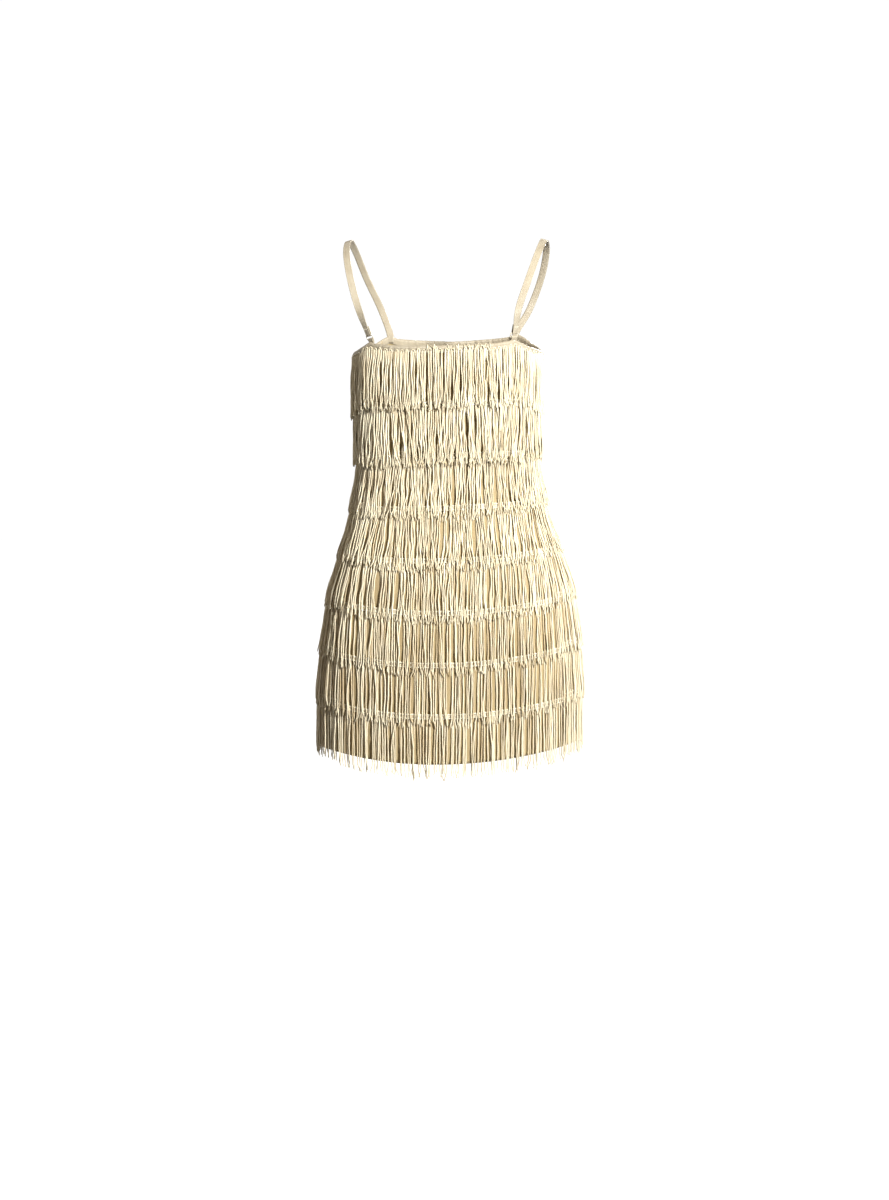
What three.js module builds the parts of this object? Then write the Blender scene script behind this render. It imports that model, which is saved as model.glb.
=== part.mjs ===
// A flapper dress, hollow and filled out as it is worn: a back, a front and two sides of thin cloth,
// eight rows of hanging fringe sewn on each, a bound top edge, and two straps that end in rings at the back.
// Millimetres, +Z up. The origin is midway between the tops of the straps, and the back faces -Y.
import * as THREE from "three";

// Walls and gaps
const CLOTH_WALL = 1.2;
const FRINGE_WALL = 2.2;
const BINDING_WALL = 1.0;
const STRAP_WALL = 1.0;
const SEAM_GAP = 0.3;

// Lengths down the dress, measured from the shoulder line
const EDGE_DROP = 159; // top edge at the centre of the back
const HEM_DROP = 780;
const BINDING_HEIGHT = 9.5;

// Fringe
const TIER_COUNT = 8;
const SECOND_TIER_DROP = 239.5;
const TIER_PITCH = 77.4;
const FRINGE_LENGTH = 96;
const FIRST_TIER_TUCK = 9; // length of the first row hidden by the binding
const FRONT_TIER_RAISE = 5; // the rows of the front and sides don't quite meet those of the back
const HEADER_OUT = 0.5; // how far the sewn end stands off the cloth
const TIP_OUT = 4.1; // how far the free end does, so that it clears the next row
const HANG_STEPS = 8; // steps taken between heights when its fall is worked out

// Angles run from the centre of the back, in degrees, towards +X
const BACK_SEAM = 55; // between the back and a side
const FRONT_SEAM = 132; // between a side and the front
const SEAM_HALF_ANGLE = 0.14;
const RING_POWER = 2.5; // a section of the dress is a superellipse of this power

// Straps and rings
const STRAP_WIDTH = 10.5;
const STRAP_LOOP_WIDTH = 8.8;
const STRAP_STATIONS = 18;
const STRAP_TAIL = 13; // length of strap turned back inside the ring
const STRAP_TAPER = 0.08; // share of its length over which a strap reaches its full width
const STRAP_SETTLE = 0.15; // share over which it turns from the ring's lie to the shoulder's
const LOOP_START = 3; // where the free strap starts, above the ring's upper bar
const BACK_STRAP_ANGLE = 46;
const FRONT_STRAP_ANGLE = 140;
const RING_RISE = 9; // ring's middle above the top edge
const RING_HALF_WIDTH = 6.1; // to the middle of the wire
const RING_HALF_HEIGHT = 3.4;
const RING_CORNER = 1.6;
const RING_WIRE = 0.8; // radius
const TAB_CLEARANCE = 1.0; // between the tab's feet and the binding, which slopes there
const TURN_RADIUS = RING_WIRE + SEAM_GAP + STRAP_WALL / 2; // of a ribbon round the wire

// Panels of the body, from seam to seam
const PANELS = [
  { panel: "back", from: -BACK_SEAM, to: BACK_SEAM, columns: 14, raise: 0 },
  { panel: "side_right", from: BACK_SEAM, to: FRONT_SEAM, columns: 8, raise: FRONT_TIER_RAISE },
  { panel: "front", from: FRONT_SEAM, to: 360 - FRONT_SEAM, columns: 10, raise: FRONT_TIER_RAISE },
  { panel: "side_left", from: 360 - FRONT_SEAM, to: 360 - BACK_SEAM, columns: 8, raise: FRONT_TIER_RAISE },
];

// Sections of the cloth, from the shoulder line down. centre and turn give the pose, sideLift raises
// the sides of a line that runs round the dress, and tilt raises its +X side.
const SECTIONS = [
  { drop: 140, halfWidth: 141, back: 97, front: 102, centre: 0.5, turn: -6.5, sideLift: 0, tilt: 0.016 },
  { drop: 210, halfWidth: 142, back: 97, front: 118, centre: 1.5, turn: -6, sideLift: 0, tilt: 0.026 },
  { drop: 265, halfWidth: 138.5, back: 92, front: 112, centre: 2.5, turn: -5, sideLift: -1, tilt: 0.034 },
  { drop: 315, halfWidth: 136.5, back: 89, front: 103, centre: 2.5, turn: -3.5, sideLift: -2, tilt: 0.04 },
  { drop: 365, halfWidth: 141, back: 92, front: 101, centre: 2.5, turn: -2, sideLift: 0, tilt: 0.04 },
  { drop: 425, halfWidth: 152, back: 102, front: 104, centre: 3.5, turn: -1, sideLift: 5, tilt: 0.038 },
  { drop: 485, halfWidth: 169, back: 115, front: 109, centre: 5.5, turn: 0, sideLift: 12, tilt: 0.034 },
  { drop: 545, halfWidth: 185, back: 123, front: 113, centre: 6.5, turn: 0, sideLift: 18, tilt: 0.03 },
  { drop: 610, halfWidth: 194, back: 126, front: 115, centre: 6.5, turn: 0, sideLift: 20, tilt: 0.03 },
  { drop: 690, halfWidth: 199.5, back: 124, front: 114, centre: 5.5, turn: 0, sideLift: 22, tilt: 0.028 },
  { drop: 810, halfWidth: 197, back: 119, front: 110, centre: 5.5, turn: 0, sideLift: 22, tilt: 0.028 },
];

// Rise of the top edge over its height at the centre of the back, from there round to the front
const TOP_EDGE = [
  { angle: 0, rise: 0 },
  { angle: 24, rise: 1.2 },
  { angle: 40, rise: 4.6 },
  { angle: 46, rise: 6.6 },
  { angle: 53, rise: 1.8 },
  { angle: 66, rise: -5 },
  { angle: 95, rise: -10 },
  { angle: 120, rise: 0 },
  { angle: 134, rise: 12 },
  { angle: 140, rise: 15.5 },
  { angle: 148, rise: 11.5 },
  { angle: 180, rise: 6 },
];

// Soft folds of the skirt: each deepens from its start down to the hem
const FOLDS = [
  { angle: -128, width: 20, depth: -4.5, start: 470 },
  { angle: -84, width: 17, depth: 2.5, start: 560 },
  { angle: -40, width: 18, depth: -3.5, start: 430 },
  { angle: -6, width: 15, depth: 2, start: 600 },
  { angle: 26, width: 18, depth: -3, start: 500 },
  { angle: 74, width: 16, depth: 2.5, start: 540 },
  { angle: 118, width: 21, depth: -5, start: 480 },
  { angle: 165, width: 19, depth: 3, start: 560 },
];

// Where each strap runs over the shoulder, from ring to front, on the +X side
const STRAP_ROUTE = [
  { across: 120, along: -84, drop: 104 },
  { across: 133, along: -77, drop: 62 },
  { across: 145, along: -48, drop: 19 },
  { across: 149, along: -4, drop: -STRAP_WALL / 2 },
  { across: 147, along: 38, drop: 15 },
  { across: 136, along: 68, drop: 54 },
  { across: 115, along: 84, drop: 104 },
];
const SHOULDER_TURN = -8.7; // degrees, a little more than the body below
const SHOULDER_SLOPE = 0.3; // how far a strap tips outwards where it crosses the shoulder

const cream = new THREE.MeshStandardMaterial({ color: 0xdccba4, roughness: 0.7, metalness: 0 });
const fringeCream = new THREE.MeshStandardMaterial({ color: 0xe8d9b4, roughness: 0.55, metalness: 0 });
const satin = new THREE.MeshStandardMaterial({ color: 0xefe4cd, roughness: 0.4, metalness: 0 });
const enamel = new THREE.MeshStandardMaterial({ color: 0xf1ebdf, roughness: 0.25, metalness: 0.1 });

const radians = THREE.MathUtils.degToRad;
const signedPower = (value, power) => Math.sign(value) * Math.abs(value) ** power;

// A smooth curve through one column of a table
function read(table, key, column, at) {
  const last = table.length - 1;
  const x = THREE.MathUtils.clamp(at, table[0][key], table[last][key]);
  const i = Math.max(table.findIndex((row) => row[key] >= x) - 1, 0);
  const slope = (k) => {
    const before = table[Math.max(k - 1, 0)];
    const after = table[Math.min(k + 1, last)];
    return (after[column] - before[column]) / (after[key] - before[key]);
  };
  const span = table[i + 1][key] - table[i][key];
  const t = (x - table[i][key]) / span;
  const rise = t * t * (3 - 2 * t);
  const bend = t * (1 - t) * span;
  return (
    table[i][column] * (1 - rise) +
    table[i + 1][column] * rise +
    bend * ((1 - t) * slope(i) - t * slope(i + 1))
  );
}

// How far the folds move the cloth out at an angle and a drop
function foldDepth(angle, drop) {
  return FOLDS.reduce((sum, fold) => {
    const off = THREE.MathUtils.euclideanModulo(angle - fold.angle + 180, 360) - 180;
    const fall = THREE.MathUtils.smoothstep(drop, fold.start, HEM_DROP);
    return sum + fold.depth * fall * Math.exp(-((off / fold.width) ** 2));
  }, 0);
}

// Turns a point of the upright, straight dress into the worn pose
function pose(x, y, drop) {
  const turn = radians(read(SECTIONS, "drop", "turn", drop));
  const across = x * Math.cos(turn) - y * Math.sin(turn);
  const along = x * Math.sin(turn) + y * Math.cos(turn);
  return new THREE.Vector2(across + read(SECTIONS, "drop", "centre", drop), along);
}

// The point that stands out millimetres off the cloth's outside, at an angle and a drop
function place(angle, drop, out) {
  const [halfWidth, back, front] = ["halfWidth", "back", "front"].map((c) => read(SECTIONS, "drop", c, drop));
  const sine = signedPower(Math.sin(radians(angle)), 2 / RING_POWER);
  const cosine = signedPower(Math.cos(radians(angle)), 2 / RING_POWER);
  const depth = cosine > 0 ? back : front;
  const normal = new THREE.Vector2(
    signedPower(sine, RING_POWER - 1) / halfWidth,
    -signedPower(cosine, RING_POWER - 1) / depth,
  ).normalize();
  const reach = out + foldDepth(angle, drop);
  const at = pose(halfWidth * sine + normal.x * reach, -depth * cosine + normal.y * reach, drop);
  const lift = read(SECTIONS, "drop", "sideLift", drop) * sine * sine;
  const tilt = read(SECTIONS, "drop", "tilt", drop) * halfWidth * sine;
  return new THREE.Vector3(at.x, at.y, lift + tilt - drop);
}

// The drop of the top edge at an angle
function edgeDrop(angle) {
  const round = Math.abs(THREE.MathUtils.euclideanModulo(angle + 180, 360) - 180);
  return EDGE_DROP - read(TOP_EDGE, "angle", "rise", round);
}

// Angles across a panel from one seam to the other, evenly spaced
function columnAngles({ from, to, columns }) {
  const first = from + SEAM_HALF_ANGLE;
  const last = to - SEAM_HALF_ANGLE;
  return Array.from({ length: columns + 1 }, (_, i) => THREE.MathUtils.lerp(first, last, i / columns));
}

// A closed solid through matching loops of points, in order along the piece. The ends of an open
// piece are closed by joining each point of the loop's first half to its partner in the second.
function sweep(loops, ringShaped = false) {
  const size = loops[0].length;
  const positions = loops.flat().flatMap((p) => [p.x, p.y, p.z]);
  const faces = [];
  const quad = (a, b, c, d) => faces.push([a, b, c], [a, c, d]);
  for (let i = 0; i < (ringShaped ? loops.length : loops.length - 1); i += 1) {
    const here = i * size;
    const next = ((i + 1) % loops.length) * size;
    for (let j = 0; j < size; j += 1) {
      const k = (j + 1) % size;
      quad(here + j, here + k, next + k, next + j);
    }
  }
  const end = (loops.length - 1) * size;
  for (let j = 0; !ringShaped && j < size / 2 - 1; j += 1) {
    const partner = size - 1 - j;
    quad(j, partner, partner - 1, j + 1);
    quad(end + j, end + j + 1, end + partner - 1, end + partner);
  }
  const corner = (index) => new THREE.Vector3().fromArray(positions, 3 * index);
  const volume = faces.reduce((sum, [a, b, c]) => sum + corner(a).dot(corner(b).cross(corner(c))), 0);
  const outward = volume > 0 ? faces : faces.map(([a, b, c]) => [a, c, b]);
  const geometry = new THREE.BufferGeometry();
  geometry.setAttribute("position", new THREE.Float32BufferAttribute(positions, 3));
  geometry.setIndex(outward.flat());
  geometry.computeVertexNormals();
  return geometry;
}

// The drop of the line that a row of fringe is sewn along
function sewnDrop(tier, angle, raise) {
  if (tier === 1) return edgeDrop(angle) + BINDING_HEIGHT + SEAM_GAP;
  return SECOND_TIER_DROP + (tier - 2) * TIER_PITCH - raise;
}

// One panel of the body, from the top edge to the hem
function panelCloth(angles, raise) {
  const loops = angles.map((angle) => {
    const drops = [edgeDrop(angle)];
    for (let tier = 1; tier <= TIER_COUNT; tier += 1) {
      const sewn = sewnDrop(tier, angle, raise);
      drops.push(sewn, (sewn + sewnDrop(tier + 1, angle, raise)) / 2);
    }
    drops.push(HEM_DROP);
    const outside = drops.map((drop) => place(angle, drop, 0));
    const inside = drops.map((drop) => place(angle, drop, -CLOTH_WALL));
    return [...outside, ...inside.reverse()];
  });
  return sweep(loops);
}

// The folded strip round the top edge, an upside-down U in section
function binding(angles) {
  const near = SEAM_GAP;
  const far = SEAM_GAP + BINDING_WALL;
  const loops = angles.map((angle) => {
    const edge = edgeDrop(angle);
    const channel = (gap) => [
      place(angle, edge + BINDING_HEIGHT, gap),
      place(angle, edge - gap, gap),
      place(angle, edge - gap, -CLOTH_WALL - gap),
      place(angle, edge + BINDING_HEIGHT, -CLOTH_WALL - gap),
    ];
    return [...channel(far), ...channel(near).reverse()];
  });
  return sweep(loops, true);
}

// How far off the cloth a row of fringe hangs at each of its heights. It falls straight where the
// cloth draws in below it, and otherwise rests on the cloth and on the row below.
function hang(angle, drops) {
  const start = drops[0];
  const length = drops[drops.length - 1] - start;
  const outs = [HEADER_OUT];
  let out = HEADER_OUT;
  let above = place(angle, start, 0);
  for (let i = 1; i < drops.length; i += 1) {
    for (let step = 1; step <= HANG_STEPS; step += 1) {
      const drop = THREE.MathUtils.lerp(drops[i - 1], drops[i], step / HANG_STEPS);
      const here = place(angle, drop, 0);
      const outward = place(angle, drop, 1).sub(here).setZ(0);
      const drawnIn = above.sub(here).setZ(0).dot(outward);
      const rest = THREE.MathUtils.lerp(HEADER_OUT, TIP_OUT, (drop - start) / length);
      out = Math.max(rest, out + drawnIn);
      above = here;
    }
    outs.push(out);
  }
  return outs;
}

// The reach of one row of fringe
function fringe(angles, tier, raise) {
  const length = tier === 1 ? FRINGE_LENGTH - FIRST_TIER_TUCK : FRINGE_LENGTH;
  const loops = angles.map((angle) => {
    const start = sewnDrop(tier, angle, raise);
    const next = sewnDrop(tier + 1, angle, raise);
    const drops = [start, (start + next) / 2, next, start + length];
    const outs = hang(angle, drops);
    const inside = drops.map((drop, i) => place(angle, drop, outs[i]));
    const outside = drops.map((drop, i) => place(angle, drop, outs[i] + FRINGE_WALL));
    return [...outside, ...inside.reverse()];
  });
  return sweep(loops);
}

// The axes of a ring: its middle, the way its bars run, the way out of the cloth, and the way up
function ringFrame(side) {
  const angle = side * BACK_STRAP_ANGLE;
  const edge = edgeDrop(angle);
  const middle = place(angle, edge - RING_RISE, -CLOTH_WALL / 2);
  const first = shoulderPoint(side, STRAP_ROUTE[0]);
  const up = first.clone().sub(middle).normalize();
  const out = place(angle, edge, 1).sub(place(angle, edge, 0)).setZ(0);
  out.addScaledVector(up, -out.dot(up)).normalize();
  const bar = new THREE.Vector3().crossVectors(up, out);
  return { middle, bar, out, up };
}

// A point of a strap's route on one side, in the worn pose
function shoulderPoint(side, { across, along, drop }) {
  const flat = new THREE.Vector2(side * across, along);
  flat.rotateAround(new THREE.Vector2(), radians(SHOULDER_TURN));
  return new THREE.Vector3(flat.x, flat.y, -drop);
}

// The four corners of a ribbon where it crosses a point
function ribbonLoop(point, bar, normal, width, wall) {
  const corner = (w, n) =>
    point.clone().addScaledVector(bar, (w * width) / 2).addScaledVector(normal, (n * wall) / 2);
  return [corner(-1, 1), corner(1, 1), corner(1, -1), corner(-1, -1)];
}

// Ribbon loops half way round a bar of the ring, from the inside to the outside
function turnRound({ middle, bar, out, up }, height, towards, width) {
  const centre = middle.clone().addScaledVector(up, height);
  return [180, 135, 90, 45, 0].map((degrees) => {
    const normal = out.clone().multiplyScalar(Math.cos(radians(degrees)));
    normal.addScaledVector(up, towards * Math.sin(radians(degrees)));
    return ribbonLoop(centre.clone().addScaledVector(normal, TURN_RADIUS), bar, normal, width, STRAP_WALL);
  });
}

// A strap: turned back inside the ring, round its upper bar, over the shoulder and down to the front
function strap(side) {
  const frame = ringFrame(side);
  const inward = frame.out.clone().negate();
  const tail = frame.middle.clone().addScaledVector(frame.up, RING_HALF_HEIGHT + STRAP_TAIL);
  tail.addScaledVector(inward, TURN_RADIUS);
  const start = frame.middle.clone().addScaledVector(frame.up, RING_HALF_HEIGHT + LOOP_START);
  start.addScaledVector(frame.out, TURN_RADIUS);
  const frontAngle = side * FRONT_STRAP_ANGLE;
  const endDrop = edgeDrop(frontAngle) - SEAM_GAP - BINDING_WALL - TAB_CLEARANCE;
  const end = place(frontAngle, endDrop, -CLOTH_WALL / 2);
  const route = STRAP_ROUTE.map((row) => shoulderPoint(side, row));
  const curve = new THREE.CatmullRomCurve3([start, ...route, end], false, "centripetal");
  const loops = Array.from({ length: STRAP_STATIONS + 1 }, (_, i) => {
    const share = i / STRAP_STATIONS;
    const along = curve.getTangentAt(share);
    const top = Math.max(along.y, 0) ** 2;
    const bar = new THREE.Vector3(1, 0, -side * SHOULDER_SLOPE * top);
    bar.lerp(frame.bar, 1 - THREE.MathUtils.smoothstep(share, 0, STRAP_SETTLE));
    bar.addScaledVector(along, -bar.dot(along)).normalize();
    const normal = new THREE.Vector3().crossVectors(bar, along);
    const widened = THREE.MathUtils.smoothstep(share, 0, STRAP_TAPER);
    const width = THREE.MathUtils.lerp(STRAP_LOOP_WIDTH, STRAP_WIDTH, widened);
    return ribbonLoop(curve.getPointAt(share), bar, normal, width, STRAP_WALL);
  });
  const tailLoop = ribbonLoop(tail, frame.bar, inward, STRAP_LOOP_WIDTH, STRAP_WALL);
  return sweep([tailLoop, ...turnRound(frame, RING_HALF_HEIGHT, -1, STRAP_LOOP_WIDTH), ...loops]);
}

// The short loop that holds the ring's lower bar, standing on the top edge
function tab(side) {
  const frame = ringFrame(side);
  const foot = RING_RISE - SEAM_GAP - BINDING_WALL - TAB_CLEARANCE;
  const leg = (normal) => {
    const point = frame.middle.clone().addScaledVector(frame.up, -foot).addScaledVector(normal, TURN_RADIUS);
    return ribbonLoop(point, frame.bar, normal, STRAP_LOOP_WIDTH, STRAP_WALL);
  };
  return sweep([
    leg(frame.out.clone().negate()),
    ...turnRound(frame, -RING_HALF_HEIGHT, 1, STRAP_LOOP_WIDTH),
    leg(frame.out),
  ]);
}

// A ring of round wire, bent to a rectangle with round corners
function strapRing(side) {
  const { middle, bar, out, up } = ringFrame(side);
  const loops = [];
  for (const [cornerX, cornerY, start] of [[1, 1, 0], [-1, 1, 90], [-1, -1, 180], [1, -1, 270]]) {
    for (const degrees of [0, 30, 60, 90]) {
      const angle = radians(start + degrees);
      const radial = bar.clone().multiplyScalar(Math.cos(angle)).addScaledVector(up, Math.sin(angle));
      const centre = middle.clone().addScaledVector(bar, cornerX * (RING_HALF_WIDTH - RING_CORNER));
      centre.addScaledVector(up, cornerY * (RING_HALF_HEIGHT - RING_CORNER));
      centre.addScaledVector(radial, RING_CORNER);
      loops.push(
        Array.from({ length: 8 }, (_, k) => {
          const round = (k * Math.PI) / 4;
          const point = centre.clone().addScaledVector(radial, RING_WIRE * Math.cos(round));
          return point.addScaledVector(out, RING_WIRE * Math.sin(round));
        }),
      );
    }
  }
  return sweep(loops, true);
}

const dress = new THREE.Group();
function add(name, geometry, material) {
  const mesh = new THREE.Mesh(geometry, material);
  mesh.name = name;
  dress.add(mesh);
}

for (const row of PANELS) {
  const angles = columnAngles(row);
  add(`body_${row.panel}`, panelCloth(angles, row.raise), cream);
  for (let tier = 1; tier <= TIER_COUNT; tier += 1) {
    add(`fringe_${row.panel}_${tier}`, fringe(angles, tier, row.raise), fringeCream);
  }
}
add("binding", binding(PANELS.flatMap(columnAngles)), satin);
for (const { name, side } of [{ name: "left", side: -1 }, { name: "right", side: 1 }]) {
  add(`strap_${name}`, strap(side), satin);
  add(`tab_${name}`, tab(side), satin);
  add(`ring_${name}`, strapRing(side), enamel);
}

export default dress;
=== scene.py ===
import math

import bpy
import numpy as np
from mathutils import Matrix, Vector


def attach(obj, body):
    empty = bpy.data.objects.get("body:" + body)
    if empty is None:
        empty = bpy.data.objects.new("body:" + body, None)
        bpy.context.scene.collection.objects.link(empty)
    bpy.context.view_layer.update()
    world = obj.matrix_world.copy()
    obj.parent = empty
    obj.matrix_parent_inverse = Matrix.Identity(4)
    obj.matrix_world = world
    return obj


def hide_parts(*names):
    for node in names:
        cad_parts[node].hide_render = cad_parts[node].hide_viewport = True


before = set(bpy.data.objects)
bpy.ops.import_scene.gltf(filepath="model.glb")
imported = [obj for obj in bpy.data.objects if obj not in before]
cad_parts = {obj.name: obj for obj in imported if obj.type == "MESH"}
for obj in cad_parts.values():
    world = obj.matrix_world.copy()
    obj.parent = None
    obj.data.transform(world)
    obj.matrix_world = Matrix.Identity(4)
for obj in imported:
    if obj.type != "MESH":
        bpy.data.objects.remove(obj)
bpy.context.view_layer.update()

mm = 0.001
threadUnit = 100.0  # millimetres of thread to one unit of its UV map

# The worn form: sections down from the shoulder line, the rise of the top edge, and the folds.
# Angles run round from the centre of the back towards +X, sizes are in millimetres.
dressForm = {
    # drop, halfWidth, back, front, centre, turn, sideLift, tilt
    "sections": (
        (140, 141, 97, 102, 0.5, -6.5, 0, 0.016),
        (210, 142, 97, 118, 1.5, -6, 0, 0.026),
        (265, 138.5, 92, 112, 2.5, -5, -1, 0.034),
        (315, 136.5, 89, 103, 2.5, -3.5, -2, 0.04),
        (365, 141, 92, 101, 2.5, -2, 0, 0.04),
        (425, 152, 102, 104, 3.5, -1, 5, 0.038),
        (485, 169, 115, 109, 5.5, 0, 12, 0.034),
        (545, 185, 123, 113, 6.5, 0, 18, 0.03),
        (610, 194, 126, 115, 6.5, 0, 20, 0.03),
        (690, 199.5, 124, 114, 5.5, 0, 22, 0.028),
        (810, 197, 119, 110, 5.5, 0, 22, 0.028),
    ),
    # angle, rise of the top edge
    "topEdge": (
        (0, 0), (24, 1.2), (40, 4.6), (46, 6.6), (53, 1.8), (66, -5), (95, -10),
        (120, 0), (134, 12), (140, 15.5), (148, 11.5), (180, 6),
    ),
    # angle, width in degrees, depth, drop where the fold starts
    "folds": (
        (-128, 20, -4.5, 470), (-84, 17, 2.5, 560), (-40, 18, -3.5, 430), (-6, 15, 2, 600),
        (26, 18, -3, 500), (74, 16, 2.5, 540), (118, 21, -5, 480), (165, 19, 3, 560),
    ),
    # angle, drop, run along the crease, width across it, depth, slant from upright in degrees
    "creases": (
        (-37, 396, 34, 13, -3.6, 24), (-18, 372, 40, 11, -2.2, 62), (31, 388, 46, 12, -2.6, -58),
        (8, 330, 55, 12, 1.6, 80), (-46, 300, 38, 10, -2.0, 40), (44, 318, 36, 11, -1.8, -35),
        (20, 452, 52, 13, 1.8, -14), (-22, 520, 60, 14, -2.2, 8), (-50, 610, 66, 15, 2.0, -6),
        (12, 640, 70, 16, -2.0, 5), (40, 690, 60, 15, 1.8, -4), (150, 392, 44, 13, -3.0, 60),
        (-155, 384, 42, 13, -2.6, -62), (178, 340, 52, 12, 1.8, 84), (110, 410, 40, 12, -2.4, 30),
        (-112, 420, 44, 12, -2.2, -28), (-165, 560, 62, 15, -2.4, 7), (140, 650, 66, 15, 2.2, -5),
        (-31, 748, 30, 6, 2.2, 66), (-25, 763, 26, 5, 1.8, 60), (104, 752, 30, 7, 2.0, -62),
    ),
    "edgeDrop": 159,
    "hemDrop": 780,
    "ringPower": 2.5,
    "degree": 2.4,  # millimetres of cloth to a degree, at the waist
}


def readTable(rows, at, column):
    # a smooth curve through one column of a table, with the first column as its key
    table = np.array(rows, float)
    key, value = table[:, 0], table[:, column]
    low = np.maximum(np.arange(len(key)) - 1, 0)
    high = np.minimum(np.arange(len(key)) + 1, len(key) - 1)
    slope = (value[high] - value[low]) / (key[high] - key[low])
    x = np.clip(at, key[0], key[-1])
    i = np.clip(np.searchsorted(key, x) - 1, 0, len(key) - 2)
    span = key[i + 1] - key[i]
    t = (x - key[i]) / span
    rise = t * t * (3 - 2 * t)
    bend = t * (1 - t) * span
    return value[i] * (1 - rise) + value[i + 1] * rise + bend * ((1 - t) * slope[i] - t * slope[i + 1])


def smoothStep(x, low, high):
    t = np.clip((np.asarray(x, float) - low) / (high - low), 0, 1)
    return t * t * (3 - 2 * t)


def signedPower(value, power):
    return np.sign(value) * np.abs(value) ** power


def angleFrom(angle, other):
    return (angle - other + 180) % 360 - 180


def foldDepth(angle, drop):
    depth = np.zeros(np.broadcast(angle, drop).shape)
    for at, width, deep, start in dressForm["folds"]:
        fall = smoothStep(drop, start, dressForm["hemDrop"])
        depth = depth + deep * fall * np.exp(-((angleFrom(angle, at) / width) ** 2))
    for at, level, run, width, deep, slant in dressForm["creases"]:
        side = angleFrom(angle, at) * dressForm["degree"]
        down = drop - level
        cosine, sine = math.cos(math.radians(slant)), math.sin(math.radians(slant))
        across = side * cosine + down * sine
        along = down * cosine - side * sine
        depth = depth + deep * np.exp(-((across / width) ** 2) - (along / run) ** 2)
    return depth


def clothPoint(angle, drop, out):
    # the point that stands out millimetres off the cloth, in millimetres
    angle, drop, out = np.broadcast_arrays(*(np.asarray(v, float) for v in (angle, drop, out)))
    halfWidth, back, front, centre, turn, sideLift, tilt = (
        readTable(dressForm["sections"], drop, column) for column in range(1, 8)
    )
    power = dressForm["ringPower"]
    sine = signedPower(np.sin(np.radians(angle)), 2 / power)
    cosine = signedPower(np.cos(np.radians(angle)), 2 / power)
    depth = np.where(cosine > 0, back, front)
    normalX = signedPower(sine, power - 1) / halfWidth
    normalY = -signedPower(cosine, power - 1) / depth
    size = np.hypot(normalX, normalY)
    reach = out + foldDepth(angle, drop)
    x = halfWidth * sine + normalX / size * reach
    y = -depth * cosine + normalY / size * reach
    turn = np.radians(turn)
    across = x * np.cos(turn) - y * np.sin(turn) + centre
    along = x * np.sin(turn) + y * np.cos(turn)
    height = sideLift * sine**2 + tilt * halfWidth * sine - drop
    return np.stack([across, along, height], -1)


def edgeDrop(angle):
    return dressForm["edgeDrop"] - readTable(dressForm["topEdge"], np.abs(angleFrom(angle, 0)), 1)


def unit(vectors):
    return vectors / np.linalg.norm(vectors, axis=-1, keepdims=True)


# Meshes: a batch gathers swept shapes of quads, and becomes one piece
def newBatch():
    return {"points": [], "quads": [], "thread": [], "tone": [], "finish": [], "count": 0}


def addSweep(batch, rings, along=None, closed=True, caps=True, tone=0.5, finish=0):
    # rings[tube, section, around] in millimetres; along is the length down each tube, for its UV map
    rings = np.asarray(rings, float)
    tubes, sections, around, _ = rings.shape
    # faces look away from the tube's middle or, on an open sheet, from the upright axis
    middle = rings[0].mean(1) if closed else np.array([0, 0, 1]) * rings[0].mean(1)
    edge = rings[0, 0, 1] - rings[0, 0, 0]
    step = rings[0, 1, 0] - rings[0, 0, 0]
    if np.dot(np.cross(edge, step), rings[0, 0, 0] - middle[0]) < 0:
        rings = rings[:, :, ::-1]
    if along is None:
        steps = np.linalg.norm(np.diff(rings.mean(2), axis=1), axis=-1)
        along = np.concatenate([np.zeros((tubes, 1)), np.cumsum(steps, 1)], 1)
    along = np.broadcast_to(along, (tubes, sections))
    index = np.arange(tubes * sections * around).reshape(tubes, sections, around)
    this = np.arange(around if closed else around - 1)
    that = (this + 1) % around
    here, below = index[:, :-1], index[:, 1:]
    quads = np.stack([here[..., this], here[..., that], below[..., that], below[..., this]], -1)
    left = np.broadcast_to(this / around, quads.shape[:-1])
    top = np.broadcast_to(along[:, :-1, None], quads.shape[:-1])
    foot = np.broadcast_to(along[:, 1:, None], quads.shape[:-1])
    right = left + 1 / around
    thread = np.stack([np.stack([u, v / threadUnit], -1) for u, v in
                       ((left, top), (right, top), (right, foot), (left, foot))], -2)
    groups, maps = [quads.reshape(-1, 4)], [thread.reshape(-1, 4, 2)]
    if closed and caps:
        for j in range(around // 2 - 1):
            first = [index[:, 0, k] for k in (j, around - 1 - j, around - 2 - j, j + 1)]
            last = [index[:, -1, k] for k in (j, j + 1, around - 2 - j, around - 1 - j)]
            for cap in (first, last):
                groups.append(np.stack(cap, -1))
                maps.append(np.zeros((tubes, 4, 2)))
    faces = np.concatenate(groups)
    batch["points"].append(rings.reshape(-1, 3))
    batch["quads"].append(faces + batch["count"])
    batch["thread"].append(np.concatenate(maps))
    batch["tone"].append(np.repeat(np.broadcast_to(tone, tubes), sections * around))
    batch["finish"].append(np.full(len(faces), finish))
    batch["count"] += tubes * sections * around


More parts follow.
